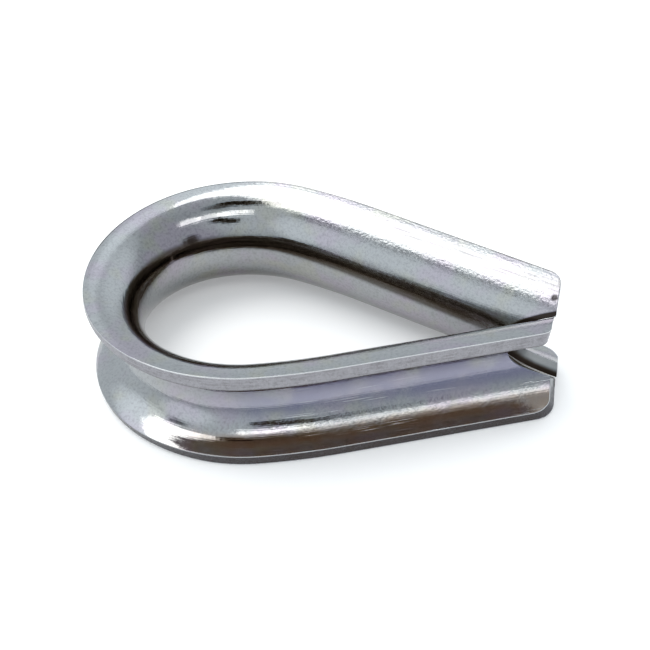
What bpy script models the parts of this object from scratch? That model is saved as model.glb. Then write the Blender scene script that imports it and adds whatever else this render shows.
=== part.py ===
"""Wire rope thimble: one pressed steel channel bent into a teardrop eye.

Metres, +Z up.  +X runs from the round crown to the open tip, +Z is across the
channel, and the part rests on the flat lands of its lower flange lips.
Only one half of the channel is described; the other half is its mirror image.
"""
import math

import bmesh
import bpy

NAME = "thimble_eye"
MM = 0.001

# Eye outline, measured on the surface that faces the eye.
CROWN_RADIUS = 17.4 * MM
CROWN_END_DEG = 117.0
SHOULDER_RADIUS = 21.8 * MM
SHOULDER_END_DEG = 76.0
BLEND_RADIUS = 107.0 * MM
LEG_DEG = 21.7

# Tip: the slot between the legs narrows outwards, and the flange ends lean.
FLANGE_REACH = 78.55 * MM
END_LEAN = 0.085
TIP_GAP = 1.8 * MM
GAP_CLOSES_AT = 4.3 * MM
TIP_CORNER_RADIUS = 2.0 * MM

# Channel section: a round back, then a flat land along each lip.
SHEET = 2.7 * MM
BACK_RADIUS = 11.46 * MM
BACK_HALF_DEG = 79.0
LAND_WIDTH = 1.35 * MM
EDGE_RADIUS = 0.12 * MM

# Drawing the flanges round the crown thins their lips and pulls them together.
CROWN_LIP_PULL = 1.15 * MM
CROWN_LIP_SHEET = 0.9 * MM

# Facets.
CROWN_STEPS = 12
SHOULDER_STEPS = 8
BLEND_STEPS = 3
LEG_STEPS = 5
BACK_STEPS = 8
EDGE_STEPS = 2
EDGE_ANGLE_DEG = 35.0
CORNER_TRIES = 8

ZINC_COLOR = (0.62, 0.64, 0.67, 1.0)
ZINC_ROUGHNESS = 0.28
ZINC_METALLIC = 1.0


def clear_scene():
    for old in list(bpy.data.objects):
        bpy.data.objects.remove(old, do_unlink=True)


def eye_outline():
    """Stations (x, y, nx, ny) from the crown to the end of the curved part."""
    arcs = (
        (CROWN_RADIUS, 180.0, CROWN_END_DEG, CROWN_STEPS),
        (SHOULDER_RADIUS, CROWN_END_DEG, SHOULDER_END_DEG, SHOULDER_STEPS),
        (BLEND_RADIUS, SHOULDER_END_DEG, 90.0 - LEG_DEG, BLEND_STEPS),
    )
    centre_x = CROWN_RADIUS
    centre_y = 0.0
    previous = CROWN_RADIUS
    stations = [(0.0, 0.0, -1.0, 0.0)]
    for radius, first, last, steps in arcs:
        start = math.radians(first)
        centre_x += (previous - radius) * math.cos(start)
        centre_y += (previous - radius) * math.sin(start)
        for step in range(1, steps + 1):
            angle = math.radians(first + (last - first) * step / steps)
            nx = math.cos(angle)
            ny = math.sin(angle)
            stations.append((centre_x + radius * nx, centre_y + radius * ny, nx, ny))
        previous = radius
    return stations


def tip_gap(out):
    """Gap between the legs at a distance out from the middle of the back."""
    return TIP_GAP * (1 - out / GAP_CLOSES_AT)


def end_reach(out, across):
    """Where the eye side ends, with the leaning end plane through mid sheet."""
    half_wall_out = SHEET / 2 * (1 - out / BACK_RADIUS)
    return FLANGE_REACH - END_LEAN * across - half_wall_out * math.sin(math.radians(LEG_DEG))


def corner_depth(leg_start, side):
    """Distance out at which the tip slot meets one flange end, found by steps."""
    x, y = leg_start[0], leg_start[1]
    leg = math.radians(LEG_DEG)
    depth = 0.0
    for _ in range(CORNER_TRIES):
        across = side * math.sqrt(depth * (2 * BACK_RADIUS - depth))
        to_end = (end_reach(depth, across) - x) * math.sin(leg)
        depth = to_end - (y - tip_gap(depth) / 2) * math.cos(leg)
    return depth


def half_section(leg_start, side):
    """Section points (outward, across) from mid channel to the lip on one side."""
    corner = math.acos(1 - corner_depth(leg_start, side) / BACK_RADIUS)
    end = math.radians(BACK_HALF_DEG)
    inner_steps = round(BACK_STEPS * corner / end)
    angles = [corner * step / inner_steps for step in range(inner_steps)]
    outer_steps = BACK_STEPS - inner_steps
    angles += [corner + (end - corner) * step / outer_steps for step in range(outer_steps + 1)]
    points = [(BACK_RADIUS * (1 - math.cos(a)), side * BACK_RADIUS * math.sin(a)) for a in angles]
    out, across = points[-1]
    points.append((out + LAND_WIDTH / 2, across))
    points.append((out + LAND_WIDTH, across))
    return points


def crown_section(point, lip, crown):
    """A section point and its wall factor, drawn in by crown = 0 (leg) to 1."""
    out, across = point
    lip_out, lip_across = lip
    share = (out / lip_out) ** 2
    drawn_across = across * (1 - CROWN_LIP_PULL / abs(lip_across) * crown * share)
    wall = 1 - (1 - CROWN_LIP_SHEET / SHEET) * crown * share
    return out, drawn_across, wall


def leg_length(out, across, lip_out, leg_start):
    """How far along the leg a section point runs before the tip cuts it."""
    x, y = leg_start[0], leg_start[1]
    leg = math.radians(LEG_DEG)
    to_slot = (y + out * math.cos(leg) - tip_gap(out) / 2) / math.sin(leg)
    into_corner = max(0.0, out - (lip_out - TIP_CORNER_RADIUS))
    trim = TIP_CORNER_RADIUS - math.sqrt(TIP_CORNER_RADIUS**2 - into_corner**2)
    to_end = (end_reach(out, across) - trim - x - out * math.sin(leg)) / math.cos(leg)
    return min(to_slot, to_end)


def half_sheet():
    """Loft the eye-side surface of one half, as rows of points with walls."""
    stations = eye_outline()
    leg_start = stations[-1]
    section = half_section(leg_start, -1)[:0:-1] + half_section(leg_start, 1)
    lip = section[-1]
    rows = []
    for x, y, nx, ny in stations:
        crown = max(0.0, -nx)
        row = []
        for point in section:
            out, across, wall = crown_section(point, lip, crown)
            row.append((x + out * nx, y + out * ny, across, wall))
        rows.append(row)
    leg = math.radians(LEG_DEG)
    for step in range(1, LEG_STEPS + 1):
        row = []
        for (out, _), (x, y, across, wall) in zip(section, rows[len(stations) - 1]):
            run = leg_length(out, across, lip[0], leg_start) * step / LEG_STEPS
            row.append((x + run * math.cos(leg), y - run * math.sin(leg), across, wall))
        rows.append(row)
    return rows


def zinc_material():
    material = bpy.data.materials.new("bright_zinc")
    material.use_nodes = True
    shader = material.node_tree.nodes["Principled BSDF"]
    shader.inputs["Base Color"].default_value = ZINC_COLOR
    shader.inputs["Roughness"].default_value = ZINC_ROUGHNESS
    shader.inputs["Metallic"].default_value = ZINC_METALLIC
    material.diffuse_color = ZINC_COLOR
    return material


def build_channel(collection):
    rows = half_sheet()
    mesh = bpy.data.meshes.new("thimble_channel")
    channel = bpy.data.objects.new("thimble_channel", mesh)
    collection.objects.link(channel)
    wall_group = channel.vertex_groups.new(name="wall")

    sheet = bmesh.new()
    walls = sheet.verts.layers.deform.verify()
    grid = []
    for row in rows:
        grid.append([])
        for x, y, z, wall in row:
            vert = sheet.verts.new((x, y, z))
            vert[walls][wall_group.index] = wall
            grid[-1].append(vert)
    for lower, upper in zip(grid, grid[1:]):
        for i in range(len(lower) - 1):
            sheet.faces.new((lower[i], upper[i], upper[i + 1], lower[i + 1]))
    sheet.normal_update()
    sheet.to_mesh(mesh)
    sheet.free()

    mirror = channel.modifiers.new("other half", "MIRROR")
    mirror.use_axis = (False, True, False)
    mirror.merge_threshold = 0.00001
    wall = channel.modifiers.new("sheet", "SOLIDIFY")
    wall.thickness = SHEET
    wall.offset = -1.0
    wall.use_even_offset = True
    wall.vertex_group = wall_group.name
    edges = channel.modifiers.new("edges", "BEVEL")
    edges.width = EDGE_RADIUS
    edges.segments = EDGE_STEPS
    edges.limit_method = "ANGLE"
    edges.angle_limit = math.radians(EDGE_ANGLE_DEG)

    channel.data.materials.append(zinc_material())
    for face in channel.data.polygons:
        face.use_smooth = True
    channel.data.set_sharp_from_angle(angle=math.radians(EDGE_ANGLE_DEG))
    return channel


def rest_on_floor(part):
    """Centre the finished part on the z axis, with its lower lands on z = 0."""
    bpy.context.view_layer.update()
    corners = part.evaluated_get(bpy.context.evaluated_depsgraph_get()).bound_box
    low_x = min(corner[0] for corner in corners)
    high_x = max(corner[0] for corner in corners)
    low_z = min(corner[2] for corner in corners)
    part.location = (-(low_x + high_x) / 2, 0.0, -low_z)


def main():
    clear_scene()
    collection = bpy.data.collections.new(NAME)
    bpy.context.scene.collection.children.link(collection)
    rest_on_floor(build_channel(collection))


main()
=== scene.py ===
"""Looks of the thimble eye: the pressed channel, its zinc finish, floor, light and camera."""

import math

import bmesh
import bpy
from mathutils import Matrix, Vector


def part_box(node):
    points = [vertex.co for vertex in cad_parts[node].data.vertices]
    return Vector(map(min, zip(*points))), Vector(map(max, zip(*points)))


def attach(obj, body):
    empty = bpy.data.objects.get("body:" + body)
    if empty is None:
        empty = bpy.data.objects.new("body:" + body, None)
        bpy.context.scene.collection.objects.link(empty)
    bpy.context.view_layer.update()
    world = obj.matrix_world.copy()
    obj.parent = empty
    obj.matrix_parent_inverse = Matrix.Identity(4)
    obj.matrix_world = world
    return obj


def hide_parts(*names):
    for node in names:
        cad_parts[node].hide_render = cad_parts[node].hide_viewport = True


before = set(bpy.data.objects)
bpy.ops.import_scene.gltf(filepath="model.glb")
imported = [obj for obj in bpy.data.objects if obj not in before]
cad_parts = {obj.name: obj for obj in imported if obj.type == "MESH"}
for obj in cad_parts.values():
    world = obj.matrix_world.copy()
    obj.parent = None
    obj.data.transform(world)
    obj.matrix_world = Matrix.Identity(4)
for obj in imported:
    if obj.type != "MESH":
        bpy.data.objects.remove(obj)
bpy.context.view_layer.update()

MM = 0.001
NODE = "thimble_channel"

# The object's own origin is the crown's innermost point, on the channel's mid plane.  The
# open tip is towards +X, and each leg goes by the sign of its y.
NEAR = -1
FAR = 1

# Eye outline, measured on the surface that faces the eye.
CROWN_RADIUS = 17.4 * MM
CROWN_END_DEG = 117.0
SHOULDER_RADIUS = 21.8 * MM
SHOULDER_END_DEG = 76.0
BLEND_RADIUS = 107.0 * MM
LEG_DEG = 21.7

# Flange ends: how far they reach in x, how they lean and slant, and their corners' radii.
NEAR_REACH = 78.6 * MM
NEAR_LEAN = 0.085
NEAR_GROOVE_SHORT = 0.8 * MM
NEAR_UPPER_CORNER = 1.2 * MM
FAR_REACH = 79.1 * MM
FAR_LEAN = 0.045
FAR_UPPER_SKEW = 0.08
FAR_UPPER_CORNER = 1.9 * MM
LOWER_CORNER = 2.6 * MM

# Slot between the legs: each leg's half of its width, which narrows outwards to nothing.
# The far leg's half goes from lower to upper within SLOT_TWIST of the mid plane.
NEAR_SLOT = 0.57 * MM
FAR_LOWER_SLOT = 1.24 * MM
FAR_UPPER_SLOT = 0.35 * MM
SLOT_TWIST = 2.0 * MM
SLOT_CLOSES_AT = 4.3 * MM
# Near the mid plane, cut end faces take the slot material, dark with painted shade.
SLOT_SHADE_WITHIN = 1.5 * MM

# Channel section: a round back, then a short straight flange.
SHEET = 2.7 * MM
BACK_RADIUS = 11.25 * MM
BACK_HALF_DEG = 79.0
FLANGE_WIDTH = 1.02 * MM
EDGE_RADIUS = 0.22 * MM
EDGE_SEGMENTS = 3
EDGE_ANGLE_DEG = 35.0

# Drawing the flanges round the crown lifts, pulls together and thins their lips.
CROWN_LIP_RISE = 0.35 * MM
CROWN_LIP_PULL = 1.15 * MM
CROWN_LIP_SHEET = 0.9 * MM
LIP_TAPER_POWER = 5

CROWN_STEPS = 70
SHOULDER_STEPS = 50
BLEND_STEPS = 16
LEG_STEPS = 70
BACK_STEPS = 44
FLANGE_STEPS = 4

# Material slots of the mesh.
SEAT = 0
GROOVE = 1
EDGE = 2
SLOT = 3

# Base colours of the zinc finish, some also used for painted shade and painted highlights.
COOL = (0.290, 0.298, 0.302, 1)
VIOLET = (0.298, 0.280, 0.310, 1)
OLIVE = (0.298, 0.302, 0.282, 1)
BROWN_FILM = (0.270, 0.228, 0.200, 1)
# Groove middle: bluer, and darker as painted shade.
GROOVE_BLUE_SHADE = (0.218, 0.216, 0.270, 1)
# Dark tone: painted shade on the lower seat, the painted dark reflection line, and the far leg's darker
# lips.
DARK_BROWN_GREY = (0.085, 0.078, 0.072, 1)
# Worn zinc on the groove's scratches, and painted highlights on lip corners.
WORN_AND_HIGHLIGHT = (0.560, 0.570, 0.580, 1)
SHEARED = (0.258, 0.253, 0.268, 1)
# Dark sheared steel, also the painted shadow line along the far leg's end.
DARK_STEEL_AND_SHADE = (0.150, 0.145, 0.150, 1)
# Near black: painted shade in and beside the slot and low on the lips, and the far end's mark.
NEAR_BLACK = (0.045, 0.043, 0.045, 1)

# A fade has a span, the values at its two ends, and levels, what it gives at them.
# A span of girth, run, depth, side, height or x is in mm.
FULL = (0.0, 1.0)

# Grain: size in mm, detail, span, levels.
VIOLET_CLOUDS = (9.0, 2.0, (0.45, 0.62), FULL)
OLIVE_CLOUDS = (6.0, 2.0, (0.52, 0.70), FULL)
DARK_SPECKLE = (0.5, 4.0, (0.40, 0.80), (0.0, 0.4))
ROUGH_SPECKLE = (0.8, 3.0, (0.30, 0.70), (0.0, 0.06))
FILM_CLOUDS = (3.0, 2.0, (0.20, 0.70), (0.4, 0.95))
BLUE_CLOUDS = (7.0, 2.0, (0.30, 0.60), (0.3, 1.0))
EVEN_CLOUDS = (2.0, 2.0, (0.35, 0.65), (0.45, 1.0))
EDGE_SPECKLE = (0.45, 4.0, (0.45, 0.75), (0.0, 0.5))
EDGE_ROUGHNESS = (0.6, 3.0, (0.30, 0.70), (0.24, 0.38))
SLOT_ROUGHNESS = (0.5, 3.0, (0.30, 0.70), (0.30, 0.45))

# Streaks along the strip: length and width in mm, span, levels.
STREAK_DETAIL = 2.0
RUBBED_STREAKS = (9.0, 0.5, (0.50, 0.72), (0.0, 0.8))
SCRATCHES = (16.0, 0.18, (0.62, 0.68), FULL)
SCRATCHED_PATCHES = (18.0, 2.5, (0.50, 0.62), FULL)
SHEAR_STREAKS = (5.0, 0.3, (0.40, 0.65), FULL)

# Relief: size in mm and detail, or length and width in mm.  Depths are in mm.
PEBBLES = (0.55, 3.0)
SEAT_PEBBLE_DEPTH = 0.045
GROOVE_PEBBLE_DEPTH = 0.025
DRAWING_MARKS = (14.0, 0.35)
DRAWING_MARK_DEPTH = 0.012
WAVES = (2.6, 2.0)
WAVE_DEPTH = 0.03
PITS = (0.3, 3.0)
SHEAR_MARKS = (6.0, 0.25)
CUT_MARK_DEPTH = 0.012
SCRATCH_DEPTH = -0.006

# Zinc: pebbled towards the lips and on the legs, and rougher on the legs.
PEBBLED_GIRTH = (6.0, 9.0)
PEBBLED_GIRTH_LEVELS = (0.25, 1.0)
PEBBLED_RUN = (26.0, 48.0)
PEBBLED_RUN_LEVELS = (0.12, 1.0)
SATIN_RUN = (25.0, 55.0)
SATIN_ROUGHNESS = (0.07, 0.15)

# Seat: rubbed streaks on the far leg's flanges.
RUBBED_RUN = (35.0, 55.0)
RUBBED_GIRTH = (10.5, 12.5)
RUBBED_SIDE = (-4.0, 4.0)

# Seat: painted shade on the lower half, darker towards the bottom, less on the lower flange.
LOWER_SHADE = (-2.5, -8.5)
LOWER_SHADE_LEVELS = (0.0, 0.7)
LOWER_FLANGE = (-11.0, -9.5)
LOWER_FLANGE_LEVELS = (0.3, 1.0)

# Seat: a painted dark reflection line that drops towards the tip and the far leg, and fades before the
# tip.
LINE_HEIGHT = 5.3
LINE_DROP_X = 0.052
LINE_DROP_Y = 0.07
LINE_SPREAD = (1.7, 0.6)
LINE_LEVELS = (0.0, 0.8)
LINE_FADES = (69.0, 59.0)

# Seat: the far leg's lips, painted shade beside the slot, and the painted shadow line and the mark at the
# far end.
LIP_GIRTH = (16.1, 16.4)
FAR_LIP_SIDE = (0.0, 6.0)
FAR_LIP_LEVELS = (0.0, 0.8)
BESIDE_SLOT = (1.0, 0.7)
SLOT_STARTS = (40.0, 50.0)
END_LINE_INSIDE = (0.75, 0.5)
END_LINE_LEVELS = (0.0, 0.85)
END_LINE_SIDE = (4.0, 6.0)
END_MARK = (77.6, 3.0, 9.45)
END_MARK_INNER = 0.4
END_MARK_OUTER = 1.0

# Groove: a brown film on the flanges, a bluer middle darkened with painted shade, and scratches on the
# legs.
FILM_GIRTH = (10.2, 12.0)
FILM_RUN = (16.0, 34.0)
SHORT_OF_TIP_RUN = (86.0, 78.0)
NEAR_SIDE = (2.0, -2.0)
BLUE_GIRTH = (10.0, 5.0)
BLUE_RUN = (22.0, 40.0)
SCRATCHED_RUN = (24.0, 40.0)

# Edges: which lip, how near its two corners, where painted shade darkens them low down and where painted
# highlights lighten their corners.
UPPER_LIP = (-2.0, 2.0)
GROOVE_CORNER_INSIDE = (0.35, 0.05)
SEAT_CORNER_DEPTH = (0.3, 0.1)
LOW_EDGE_SHADE = (-7.0, -9.0)
LOW_EDGE_SHADE_LEVELS = (0.0, 0.68)
HIGHLIGHT_SIDE = (8.0, -2.0)
HIGHLIGHT_RUN = (30.0, 50.0)
HIGHLIGHT_RUN_LEVELS = (0.1, 1.0)

# Slot: painted shade, lighter towards the groove and the tip.
SHADE_FADES_DEPTH = (0.5, 1.7)
SHADE_FADES_X = (70.0, 76.0)
SHADE_FADES_X_LEVELS = (0.3, 1.0)

# Where a Mix node keeps its two colours and the mixed one.
MIX_COLOR_A = 6
MIX_COLOR_B = 7
MIX_COLOR_RESULT = 2

FLOOR_SIZE = 4.0
FLOOR_HEIGHT = -0.2 * MM
FLOOR_COLOR = (0.8, 0.8, 0.8, 1)
FLOOR_ROUGHNESS = 0.8
FLOOR_GLOW_COLOR = (1.0, 1.0, 1.0, 1)
FLOOR_GLOW = 0.22

# The room seen in the metal: a base radiance, then smooth patches laid over it in turn.
# azimuth, elevation, inner and outer radius in degrees, radiance
ROOM_TINT = (0.88, 0.94, 0.985, 1)
ROOM_RADIANCE = 0.85
ROOM_PATCHES = (
    (150, 20, 20, 90, 1.25),
    (-178, 54, 6, 30, 2.1),
    (62, 30, 8, 32, 1.5),
    (106, 55, 6, 21, 1.95),
    (-100, 45, 12, 45, 1.2),
    (-132, 27, 8, 26, 1.65),
    (-147, 50, 2, 7.5, 0.45),
    (-35, 17, 2, 12, 0.25),
    (-75, 41, 1.5, 8, 0.05),
    (-64, 46, 2, 8, 0.03),
    (-62, 76, 2, 9, 0.35),
    (-87, 81, 2, 6, 0.02),
    (-104, 76, 2, 6, 0.02),
    (-120, 74, 2, 6, 0.02),
    (-138, 73, 2, 7, 0.3),
)

LIGHT_DISTANCE = 1.2
LAMP_TINT = (1.0, 0.985, 0.96)
# name, azimuth, elevation, width and height in degrees, radiance
SOFT_BOXES = (
    ("overhead", 160, 68, 46, 28, 3.0),
    ("bar_left", -82, 59, 18, 8, 2.7),
    ("bar_middle", -57, 59, 18, 9, 1.6),
    ("bar_right", -30, 57, 15, 10, 2.2),
)

# Camera: azimuth from -Y towards +X, elevation and roll in degrees, distance from the aim
# point, and where that point lies: along x, then across and up the picture.  The lens and
# the sensor are in mm.
VIEW_AZIMUTH = 11.54
VIEW_ELEVATION = 43.02
VIEW_ROLL = -2.30
VIEW_DISTANCE = 280.9 * MM
AIM_X = 45.0 * MM
AIM_ACROSS = -9.84 * MM
AIM_UP = 0.80 * MM
LENS = 81.94
SENSOR_WIDTH = 36.0
CLIP_START = 0.01

# Film response: scene light in, light out.
TONE_CURVE = ((0.05, 0.02), (0.12, 0.085), (0.25, 0.25))
RED_CURVE = ((0.03, 0.037), (0.15, 0.152))
BLUE_CURVE = ((0.03, 0.023), (0.15, 0.148))


def eye_outline():
    """Stations (x, y, nx, ny, run) from the crown to the start of the straight leg."""
    arcs = (
        (CROWN_RADIUS, 180.0, CROWN_END_DEG, CROWN_STEPS),
        (SHOULDER_RADIUS, CROWN_END_DEG, SHOULDER_END_DEG, SHOULDER_STEPS),
        (BLEND_RADIUS, SHOULDER_END_DEG, 90.0 - LEG_DEG, BLEND_STEPS),
    )
    centre_x = CROWN_RADIUS
    centre_y = 0.0
    previous = CROWN_RADIUS
    run = 0.0
    stations = [(0.0, 0.0, -1.0, 0.0, run)]
    for radius, first, last, steps in arcs:
        start = math.radians(first)
        centre_x += (previous - radius) * math.cos(start)
        centre_y += (previous - radius) * math.sin(start)
        for step in range(1, steps + 1):
            angle = math.radians(first + (last - first) * step / steps)
            run += radius * math.radians(first - last) / steps
            nx = math.cos(angle)
            ny = math.sin(angle)
            stations.append((centre_x + radius * nx, centre_y + radius * ny, nx, ny, run))
        previous = radius
    return stations


def half_section():
    """Points (out, across, lean, girth) from mid channel to the upper lip, on the eye side.

    lean is the angle of the sheet there: 0 along the middle of the back.
    """
    end = math.radians(BACK_HALF_DEG)
    points = []
    for step in range(BACK_STEPS + 1):
        angle = end * step / BACK_STEPS
        out = BACK_RADIUS * (1 - math.cos(angle))
        points.append((out, BACK_RADIUS * math.sin(angle), angle, BACK_RADIUS * angle))
    out, across, _, girth = points[-1]
    for step in range(1, FLANGE_STEPS + 1):
        flange = FLANGE_WIDTH * step / FLANGE_STEPS
        points.append((out + flange * math.sin(end), across + flange * math.cos(end), end, girth + flange))
    return points


def whole_section():
    """The section's points from the lower lip to the upper lip."""
    upper = half_section()
    lower = [(out, -across, lean, -girth) for out, across, lean, girth in reversed(upper[1:])]
    return lower + upper


def drawn(point, lip, crown):
    """A section point on the eye side and on the groove side, drawn in by crown = 0 to 1."""
    out, across, lean = point[:3]
    lip_out, lip_across = lip
    across *= 1 - CROWN_LIP_PULL / lip_across * crown * (out / lip_out) ** 2
    out += CROWN_LIP_RISE * crown * out / lip_out
    # out now holds the rise too, so the crown's lip ends thinner than CROWN_LIP_SHEET.
    wall = SHEET - (SHEET - CROWN_LIP_SHEET) * crown * (out / lip_out) ** LIP_TAPER_POWER
    side = 1 if across >= 0 else -1
    groove = (out + wall * math.cos(lean), across - side * wall * math.sin(lean))
    return (out, across), groove


def slot_half(out, upper, leg_side):
    """One leg's half of the slot's width, for upper = 0 below the mid plane to 1 above it."""
    widest = NEAR_SLOT
    if leg_side == FAR:
        widest = FAR_LOWER_SLOT + (FAR_UPPER_SLOT - FAR_LOWER_SLOT) * upper
    return widest * (1 - out / SLOT_CLOSES_AT)


def corner_trim(from_lip, upper_flange, leg_side):
    """How much a flange end's rounded corner takes off its reach."""
    radius = LOWER_CORNER
    if upper_flange:
        radius = NEAR_UPPER_CORNER if leg_side == NEAR else FAR_UPPER_CORNER
    into_corner = max(0.0, radius - from_lip)
    return radius - math.sqrt(radius**2 - into_corner**2)


def leg_run(point, leg_start, lip, leg_side):
    """How far along the leg the eye side and groove side of one section point run."""
    x, y = leg_start[:2]
    out, across = point[:2]
    from_lip = lip[0] - out
    leg = math.radians(LEG_DEG)
    upper = min(1.0, max(0.0, 0.5 + across / (2 * SLOT_TWIST)))
    to_slot = (y + out * math.cos(leg) - slot_half(out, upper, leg_side)) / math.sin(leg)
    trim = corner_trim(from_lip, across > 0, leg_side)
    if leg_side == NEAR:
        flange_reach = NEAR_REACH
        end_lean = NEAR_LEAN
        groove_short = NEAR_GROOVE_SHORT
        skew = 0.0
    else:
        flange_reach = FAR_REACH
        end_lean = FAR_LEAN
        groove_short = 0.0
        skew = FAR_UPPER_SKEW * upper * from_lip
    runs = []
    for (side_out, side_across), short in zip(drawn(point, lip, 0.0), (0.0, groove_short)):
        reach = flange_reach - end_lean * side_across - trim - short - skew
        runs.append(min(to_slot, (reach - x - side_out * math.sin(leg)) / math.cos(leg)))
    return runs


def half_rows(leg_side):
    """Rows of (eye point, groove point, run, girth) from the crown to the tip of one leg."""
    stations = eye_outline()
    section = whole_section()
    lip = section[-1][:2]
    rows = []
    for x, y, nx, ny, run in stations:
        row = []
        for point in section:
            sides = drawn(point, lip, max(0.0, -nx))
            places = [Vector((x + out * nx, leg_side * (y + out * ny), across)) for out, across in sides]
            row.append((*places, run, point[3]))
        rows.append(row)
    leg = math.radians(LEG_DEG)
    down_leg = Vector((math.cos(leg), -leg_side * math.sin(leg), 0))
    start = rows[-1]
    ends = [leg_run(point, stations[-1], lip, leg_side) for point in section]
    for step in range(1, LEG_STEPS + 1):
        share = step / LEG_STEPS
        row = []
        for (eye, groove, run, girth), (eye_run, groove_run) in zip(start, ends):
            eye_point = eye + down_leg * eye_run * share
            groove_point = groove + down_leg * groove_run * share
            row.append((eye_point, groove_point, run + eye_run * share, girth))
        rows.append(row)
    return rows


def build_skin(rows, leg_sides):
    """One closed skin over the rows: eye side, groove side, lips and two cut ends.

    The "strip" UV is in mm: (run, girth) on the two sides, with run negative on the near
    leg, and (a measure along the edge, depth into the sheet) on lips and ends.
    """
    skin = bmesh.new()
    strip = skin.loops.layers.uv.new("strip")
    eye = []
    groove = []
    on_side = {}
    on_edge = {}
    for row, leg_side in zip(rows, leg_sides):
        eye.append([skin.verts.new(point[0]) for point in row])
        groove.append([skin.verts.new(point[1]) for point in row])
        for depth, line in ((0.0, eye[-1]), (SHEET, groove[-1])):
            for vert, (_, _, run, girth) in zip(line, row):
                on_side[vert] = (leg_side * run / MM, girth / MM)
                on_edge[vert] = ((run + abs(girth)) / MM, depth / MM)

    def face(corners, slot, where):
        made = skin.faces.new(corners)
        made.smooth = True
        made.material_index = slot
        for loop in made.loops:
            loop[strip].uv = where[loop.vert]

    for r in range(len(rows) - 1):
        for i in range(len(rows[0]) - 1):
            face((eye[r][i], eye[r + 1][i], eye[r + 1][i + 1], eye[r][i + 1]), SEAT, on_side)
            face((groove[r][i], groove[r][i + 1], groove[r + 1][i + 1], groove[r + 1][i]), GROOVE, on_side)
        for i in (0, -1):
            face((eye[r][i], groove[r][i], groove[r + 1][i], eye[r + 1][i]), EDGE, on_edge)
    # The far leg's cut end (row -1) gets the slot material all over, the near leg's only near the slot,
    # where its dark colour is painted shade.
    for r in (0, -1):
        for i in range(len(rows[0]) - 1):
            dark_cut = r == -1 or abs(rows[r][i][0].y) < SLOT_SHADE_WITHIN
            slot = SLOT if dark_cut else EDGE
            face((eye[r][i], eye[r][i + 1], groove[r][i + 1], groove[r][i]), slot, on_edge)
    bmesh.ops.recalc_face_normals(skin, faces=skin.faces)
    return skin


def round_edges(thimble):
    edges = thimble.modifiers.new("edges", "BEVEL")
    edges.width = EDGE_RADIUS
    edges.segments = EDGE_SEGMENTS
    edges.limit_method = "ANGLE"
    edges.angle_limit = math.radians(EDGE_ANGLE_DEG)
    edges.harden_normals = True


def build_thimble():
    """The whole channel, from the near leg's tip round the crown to the far leg's tip."""
    near_leg = half_rows(NEAR)
    far_leg = half_rows(FAR)[1:]
    rows = list(reversed(near_leg)) + far_leg
    skin = build_skin(rows, [NEAR] * len(near_leg) + [FAR] * len(far_leg))
    mesh = bpy.data.meshes.new("thimble")
    skin.to_mesh(mesh)
    skin.free()
    thimble = bpy.data.objects.new("thimble", mesh)
    bpy.context.scene.collection.objects.link(thimble)
    round_edges(thimble)
    return thimble


def place_in_cad_box(thimble):
    """Put the crown against the CAD box's low x, and the mid plane at its middle height."""
    low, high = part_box(NODE)
    bpy.context.view_layer.update()
    corners = thimble.evaluated_get(bpy.context.evaluated_depsgraph_get()).bound_box
    middle = (low[2] + high[2]) / 2
    thimble.location = (low[0] - min(c[0] for c in corners), 0.0, middle)


def add_node(tree, kind, inputs=None, **settings):
    """A new node with its settings, and each input linked to a socket or set to a value."""
    made = tree.nodes.new(kind)
    for name, value in settings.items():
        setattr(made, name, value)
    for name, value in (inputs or {}).items():
        if isinstance(value, bpy.types.NodeSocket):
            tree.links.new(value, made.inputs[name])
        else:
            made.inputs[name].default_value = value
    return made


def fade(tree, value, span, levels=FULL):
    """From levels[0] at span[0] to levels[1] at span[1], smooth between and level beyond."""
    inputs = {
        "Value": value,
        "From Min": span[0],
        "From Max": span[1],
        "To Min": levels[0],
        "To Max": levels[1],
    }
    return add_node(tree, "ShaderNodeMapRange", inputs, interpolation_type="SMOOTHSTEP").outputs["Result"]


def combine(tree, operation, first, second=0.0):
    return add_node(tree, "ShaderNodeMath", {0: first, 1: second}, operation=operation).outputs[0]


def absolute(tree, value):
    return combine(tree, "ABSOLUTE", value)


def product(tree, first, *others):
    for other in others:
        first = combine(tree, "MULTIPLY", first, other)
    return first


def tint(tree, share, first, second):
    """Mix two colours by share."""
    inputs = {"Factor": share, MIX_COLOR_A: first, MIX_COLOR_B: second}
    return add_node(tree, "ShaderNodeMix", inputs, data_type="RGBA").outputs[MIX_COLOR_RESULT]


def in_object(tree):
    return add_node(tree, "ShaderNodeTexCoord").outputs["Object"]


def on_strip(tree):
    return add_node(tree, "ShaderNodeUVMap", uv_map="strip").outputs["UV"]


def one_axis(tree, place, axis):
    return add_node(tree, "ShaderNodeSeparateXYZ", {"Vector": place}).outputs[axis]


def coordinate(tree, axis):
    """Distance along one axis of the object, in mm."""
    return combine(tree, "DIVIDE", one_axis(tree, in_object(tree), axis), MM)


def along(tree):
    """Distance along the strip from the crown, in mm."""
    return absolute(tree, one_axis(tree, on_strip(tree), "X"))


def from_middle(tree):
    """Girth from the middle of the channel, in mm; on a cut edge, depth into the sheet."""
    return absolute(tree, one_axis(tree, on_strip(tree), "Y"))


def solid_noise(tree, size, detail):
    """Noise through the solid, with features of that size in mm."""
    inputs = {"Vector": in_object(tree), "Scale": 1.0 / (size * MM), "Detail": detail}
    return add_node(tree, "ShaderNodeTexNoise", inputs).outputs["Fac"]


def strip_noise(tree, length, width):
    """Noise drawn out along the strip, in mm."""
    drawn_out = {"Vector": on_strip(tree), "Scale": (1.0 / length, 1.0 / width, 1.0)}
    stretched = add_node(tree, "ShaderNodeMapping", drawn_out).outputs["Vector"]
    inputs = {"Vector": stretched, "Scale": 1.0, "Detail": STREAK_DETAIL}
    return add_node(tree, "ShaderNodeTexNoise", inputs).outputs["Fac"]


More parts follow.
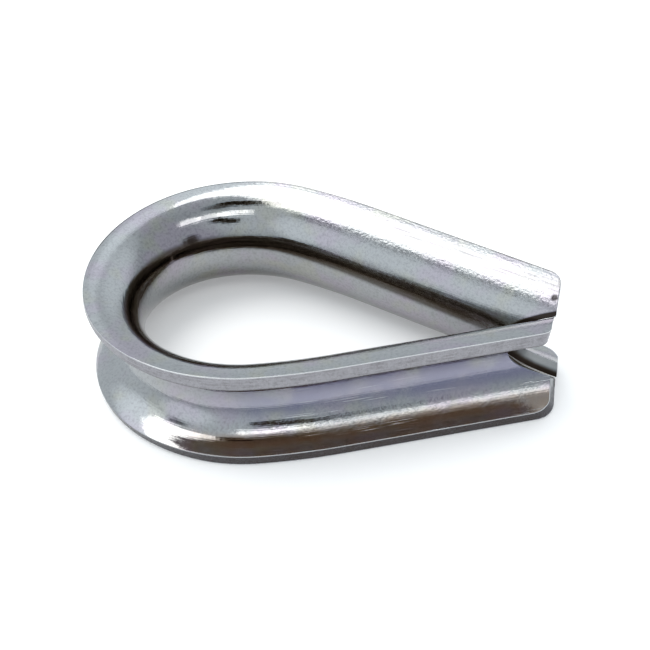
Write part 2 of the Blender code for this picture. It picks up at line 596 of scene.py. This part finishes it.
def grain(tree, size, detail, span, levels):
    return fade(tree, solid_noise(tree, size, detail), span, levels)


def streaks(tree, length, width, span, levels):
    return fade(tree, strip_noise(tree, length, width), span, levels)


def spot(tree, centre, inner, outer):
    """1 within inner mm of a point on the object, 0 beyond outer mm."""
    ends = {0: in_object(tree), 1: [MM * c for c in centre]}
    apart = add_node(tree, "ShaderNodeVectorMath", ends, operation="DISTANCE").outputs["Value"]
    return fade(tree, apart, (outer * MM, inner * MM))


def bump(tree, height, depth, under=None):
    """A normal for height, depth in mm, on top of the normal under it."""
    inputs = {"Height": height, "Strength": 1.0, "Distance": depth * MM}
    if under:
        inputs["Normal"] = under
    return add_node(tree, "ShaderNodeBump", inputs).outputs["Normal"]


def metal(name):
    material = bpy.data.materials.new(name)
    material.use_nodes = True
    shader = material.node_tree.nodes["Principled BSDF"]
    shader.inputs["Metallic"].default_value = 1.0
    return material, material.node_tree, shader


def finish(tree, shader, color, roughness, normal):
    tree.links.new(color, shader.inputs["Base Color"])
    tree.links.new(roughness, shader.inputs["Roughness"])
    tree.links.new(normal, shader.inputs["Normal"])


def zinc_color(tree):
    """Cool grey plating with faint violet and olive clouds and a dark speckle."""
    color = tint(tree, grain(tree, *VIOLET_CLOUDS), COOL, VIOLET)
    color = tint(tree, grain(tree, *OLIVE_CLOUDS), color, OLIVE)
    return tint(tree, grain(tree, *DARK_SPECKLE), color, DARK_STEEL_AND_SHADE)


def zinc_bump(tree, pebble_depth):
    """Pebbled where bending stretched the sheet, with drawing marks and shallow waves."""
    stretched = product(
        tree,
        fade(tree, from_middle(tree), PEBBLED_GIRTH, PEBBLED_GIRTH_LEVELS),
        fade(tree, along(tree), PEBBLED_RUN, PEBBLED_RUN_LEVELS),
    )
    pebbled = bump(tree, product(tree, solid_noise(tree, *PEBBLES), stretched), pebble_depth)
    marked = bump(tree, strip_noise(tree, *DRAWING_MARKS), DRAWING_MARK_DEPTH, pebbled)
    return bump(tree, solid_noise(tree, *WAVES), WAVE_DEPTH, marked)


def zinc_roughness(tree):
    """Satin on the legs, smoother where the crown's rope or pin rubs it."""
    satin = fade(tree, along(tree), SATIN_RUN, SATIN_ROUGHNESS)
    return combine(tree, "ADD", satin, grain(tree, *ROUGH_SPECKLE))


def rubbed_flanges(tree):
    """Share of dark rubbed streaks on the far leg's flanges."""
    return product(
        tree,
        fade(tree, along(tree), RUBBED_RUN),
        fade(tree, from_middle(tree), RUBBED_GIRTH),
        fade(tree, coordinate(tree, "Y"), RUBBED_SIDE),
        streaks(tree, *RUBBED_STREAKS),
    )


# Share of painted shade on the seat's lower half, darker towards the bottom.
def lower_painted_shade(tree):
    height = coordinate(tree, "Z")
    return product(
        tree,
        fade(tree, height, LOWER_SHADE, LOWER_SHADE_LEVELS),
        fade(tree, height, LOWER_FLANGE, LOWER_FLANGE_LEVELS),
    )


def painted_seat_line(tree):
    """Share of the painted dark reflection line along the seat, in the upper half of the channel."""
    drop = combine(
        tree,
        "ADD",
        product(tree, coordinate(tree, "Y"), LINE_DROP_Y),
        product(tree, coordinate(tree, "X"), LINE_DROP_X),
    )
    over_line = combine(tree, "SUBTRACT", combine(tree, "ADD", coordinate(tree, "Z"), drop), LINE_HEIGHT)
    return product(
        tree,
        fade(tree, absolute(tree, over_line), LINE_SPREAD, LINE_LEVELS),
        fade(tree, coordinate(tree, "X"), LINE_FADES),
    )


def far_lips(tree):
    return product(
        tree,
        fade(tree, from_middle(tree), LIP_GIRTH),
        fade(tree, coordinate(tree, "Y"), FAR_LIP_SIDE, FAR_LIP_LEVELS),
    )


# Share of painted shade on the seat beside the slot, towards the tip.
def painted_slot_shade(tree):
    return product(
        tree,
        fade(tree, absolute(tree, coordinate(tree, "Y")), BESIDE_SLOT),
        fade(tree, coordinate(tree, "X"), SLOT_STARTS),
    )


def painted_end_shadow(tree):
    """Share of a painted shadow line along the end of the far leg's flanges."""
    lean = product(tree, coordinate(tree, "Z"), FAR_LEAN)
    reach = combine(tree, "ADD", coordinate(tree, "X"), lean)
    span = [FAR_REACH / MM - inside for inside in END_LINE_INSIDE]
    return product(
        tree,
        fade(tree, reach, span, END_LINE_LEVELS),
        fade(tree, coordinate(tree, "Y"), END_LINE_SIDE),
    )


def seat_material():
    """The side that faces the eye: satin zinc, with painted shade low down and beside the slot, a painted
    dark reflection line, a painted shadow line at the far end, darker far lips and the end mark.
    """
    material, tree, shader = metal("zinc_seat")
    color = tint(tree, rubbed_flanges(tree), zinc_color(tree), DARK_STEEL_AND_SHADE)
    color = tint(tree, lower_painted_shade(tree), color, DARK_BROWN_GREY)
    color = tint(tree, painted_seat_line(tree), color, DARK_BROWN_GREY)
    color = tint(tree, far_lips(tree), color, DARK_BROWN_GREY)
    color = tint(tree, painted_slot_shade(tree), color, NEAR_BLACK)
    color = tint(tree, painted_end_shadow(tree), color, DARK_STEEL_AND_SHADE)
    color = tint(tree, spot(tree, END_MARK, END_MARK_INNER, END_MARK_OUTER), color, NEAR_BLACK)
    finish(tree, shader, color, zinc_roughness(tree), zinc_bump(tree, SEAT_PEBBLE_DEPTH))
    return material


# Share of the groove's bluer middle, darkened as painted shade.
def shaded_blue_middle(tree):
    return product(
        tree,
        fade(tree, from_middle(tree), BLUE_GIRTH),
        fade(tree, along(tree), BLUE_RUN),
        grain(tree, *BLUE_CLOUDS),
    )


def brown_film(tree):
    """Share of brown film on the legs' flanges, none of it at the far leg's tip."""
    not_far_tip = combine(
        tree,
        "MAXIMUM",
        fade(tree, along(tree), SHORT_OF_TIP_RUN),
        fade(tree, coordinate(tree, "Y"), NEAR_SIDE),
    )
    return product(
        tree,
        fade(tree, from_middle(tree), FILM_GIRTH),
        fade(tree, along(tree), FILM_RUN),
        not_far_tip,
        grain(tree, *FILM_CLOUDS),
    )


def scratches(tree):
    return product(
        tree,
        streaks(tree, *SCRATCHES),
        streaks(tree, *SCRATCHED_PATCHES),
        fade(tree, along(tree), SCRATCHED_RUN),
    )


def groove_material():
    """The rope groove: the same zinc, bluer in the middle and darker there with painted shade, with brown
    film and scratches.
    """
    material, tree, shader = metal("zinc_groove")
    scratched = scratches(tree)
    color = tint(tree, shaded_blue_middle(tree), zinc_color(tree), GROOVE_BLUE_SHADE)
    color = tint(tree, brown_film(tree), color, BROWN_FILM)
    color = tint(tree, scratched, color, WORN_AND_HIGHLIGHT)
    normal = bump(tree, scratched, SCRATCH_DEPTH, zinc_bump(tree, GROOVE_PEBBLE_DEPTH))
    finish(tree, shader, color, zinc_roughness(tree), normal)
    return material


def sheared_color(tree):
    """Sheared steel, striped in patches, with a dark speckle."""
    color = tint(tree, streaks(tree, *SHEAR_STREAKS), SHEARED, DARK_STEEL_AND_SHADE)
    color = tint(tree, grain(tree, *EVEN_CLOUDS), color, SHEARED)
    return tint(tree, grain(tree, *EDGE_SPECKLE), color, DARK_STEEL_AND_SHADE)


def edge_material():
    """Sheared lips and near end: rougher, with painted shade low down and painted highlights on the
    corners.
    """
    material, tree, shader = metal("zinc_edge")
    depth = from_middle(tree)
    height = coordinate(tree, "Z")
    upper = fade(tree, height, UPPER_LIP)
    lower = combine(tree, "SUBTRACT", 1.0, upper)
    at_groove = fade(tree, depth, [SHEET / MM - inside for inside in GROOVE_CORNER_INSIDE])
    color = tint(tree, product(tree, at_groove, upper), sheared_color(tree), DARK_STEEL_AND_SHADE)
    # Painted shade: the lips darker low down.
    color = tint(tree, fade(tree, height, LOW_EDGE_SHADE, LOW_EDGE_SHADE_LEVELS), color, NEAR_BLACK)
    # Painted highlights on the near leg's seat corners and the lower lip's groove corner.
    seat_corner_highlight = product(
        tree,
        fade(tree, depth, SEAT_CORNER_DEPTH),
        fade(tree, coordinate(tree, "Y"), HIGHLIGHT_SIDE),
    )
    groove_corner_highlight = product(tree, at_groove, lower, fade(tree, along(tree), HIGHLIGHT_RUN, HIGHLIGHT_RUN_LEVELS))
    color = tint(tree, combine(tree, "MAXIMUM", seat_corner_highlight, groove_corner_highlight), color, WORN_AND_HIGHLIGHT)
    pitted = bump(tree, solid_noise(tree, *PITS), CUT_MARK_DEPTH)
    marked = bump(tree, strip_noise(tree, *SHEAR_MARKS), CUT_MARK_DEPTH, pitted)
    finish(tree, shader, color, grain(tree, *EDGE_ROUGHNESS), marked)
    return material


def slot_material():
    """Cut faces inside the tip slot, dark with painted shade that lightens towards the groove and the tip;
    the far leg's end gets the same.
    """
    material, tree, shader = metal("zinc_slot")
    less_shade = product(
        tree,
        fade(tree, from_middle(tree), SHADE_FADES_DEPTH),
        fade(tree, coordinate(tree, "X"), SHADE_FADES_X, SHADE_FADES_X_LEVELS),
    )
    color = tint(tree, less_shade, NEAR_BLACK, COOL)
    pitted = bump(tree, solid_noise(tree, *PITS), CUT_MARK_DEPTH)
    finish(tree, shader, color, grain(tree, *SLOT_ROUGHNESS), pitted)
    return material


def build_floor():
    bpy.ops.mesh.primitive_plane_add(size=FLOOR_SIZE, location=(0, 0, FLOOR_HEIGHT))
    floor = bpy.context.object
    floor.name = "floor"
    material = bpy.data.materials.new("floor")
    material.use_nodes = True
    shader = material.node_tree.nodes["Principled BSDF"]
    shader.inputs["Base Color"].default_value = FLOOR_COLOR
    shader.inputs["Roughness"].default_value = FLOOR_ROUGHNESS
    shader.inputs["Emission Color"].default_value = FLOOR_GLOW_COLOR
    shader.inputs["Emission Strength"].default_value = FLOOR_GLOW
    floor.data.materials.append(material)


def direction(azimuth, elevation):
    """Unit vector at an azimuth from +X towards +Y and an elevation, in degrees."""
    az = math.radians(azimuth)
    el = math.radians(elevation)
    return Vector((math.cos(az) * math.cos(el), math.sin(az) * math.cos(el), math.sin(el)))


def build_world():
    """A pale room with smooth brighter and darker patches."""
    world = bpy.data.worlds.new("studio")
    world.use_nodes = True
    tree = world.node_tree
    toward = add_node(tree, "ShaderNodeTexCoord").outputs["Generated"]
    radiance = ROOM_RADIANCE
    for azimuth, elevation, inner, outer, level in ROOM_PATCHES:
        pair = {0: toward, 1: direction(azimuth, elevation)}
        facing = add_node(tree, "ShaderNodeVectorMath", pair, operation="DOT_PRODUCT").outputs["Value"]
        share = fade(tree, facing, (math.cos(math.radians(outer)), math.cos(math.radians(inner))))
        mixed = add_node(tree, "ShaderNodeMix", {"Factor": share, "A": radiance, "B": level})
        radiance = mixed.outputs["Result"]
    background = tree.nodes["Background"]
    background.inputs["Color"].default_value = ROOM_TINT
    tree.links.new(radiance, background.inputs["Strength"])
    bpy.context.scene.world = world


def build_soft_box(name, azimuth, elevation, width, height, radiance):
    """A rectangular light seen from the object at that angle, size and radiance."""
    data = bpy.data.lights.new(name, "AREA")
    data.shape = "RECTANGLE"
    data.size = 2 * LIGHT_DISTANCE * math.tan(math.radians(width / 2))
    data.size_y = 2 * LIGHT_DISTANCE * math.tan(math.radians(height / 2))
    data.energy = math.pi * data.size * data.size_y * radiance
    data.color = LAMP_TINT
    light = bpy.data.objects.new(name, data)
    toward = direction(azimuth, elevation)
    light.location = LIGHT_DISTANCE * toward
    light.rotation_euler = toward.to_track_quat("Z", "Y").to_euler()
    light.visible_camera = False
    bpy.context.scene.collection.objects.link(light)


def build_camera(thimble):
    az = math.radians(VIEW_AZIMUTH)
    el = math.radians(VIEW_ELEVATION)
    roll = math.radians(VIEW_ROLL)
    forward = -Vector((math.sin(az) * math.cos(el), -math.cos(az) * math.cos(el), math.sin(el)))
    right = forward.cross(Vector((0, 0, 1))).normalized()
    up = right.cross(forward)
    tilted_right = math.cos(roll) * right + math.sin(roll) * up
    tilted_up = -math.sin(roll) * right + math.cos(roll) * up
    aim = thimble.location + Vector((AIM_X, 0, 0)) + AIM_ACROSS * tilted_right + AIM_UP * tilted_up
    data = bpy.data.cameras.new("camera")
    data.lens = LENS
    data.sensor_width = SENSOR_WIDTH
    data.clip_start = CLIP_START
    camera = bpy.data.objects.new("camera", data)
    bpy.context.scene.collection.objects.link(camera)
    basis = Matrix((tilted_right, tilted_up, -forward)).transposed().to_4x4()
    camera.matrix_world = Matrix.Translation(aim - VIEW_DISTANCE * forward) @ basis
    bpy.context.scene.camera = camera


def set_tone():
    """Plain sRGB with a contrasty toe and slightly warm darks."""
    settings = bpy.context.scene.view_settings
    settings.view_transform = "Standard"
    settings.use_curve_mapping = True
    red, _, blue, combined = settings.curve_mapping.curves
    for curve, points in ((combined, TONE_CURVE), (red, RED_CURVE), (blue, BLUE_CURVE)):
        for light, shown in points:
            curve.points.new(light, shown)
    settings.curve_mapping.update()


thimble = build_thimble()
# In the order SEAT, GROOVE, EDGE, SLOT.
for material in (seat_material(), groove_material(), edge_material(), slot_material()):
    thimble.data.materials.append(material)
place_in_cad_box(thimble)
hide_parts(NODE)
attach(thimble, "root")
build_floor()
build_world()
for soft_box in SOFT_BOXES:
    build_soft_box(*soft_box)
build_camera(thimble)
set_tone()
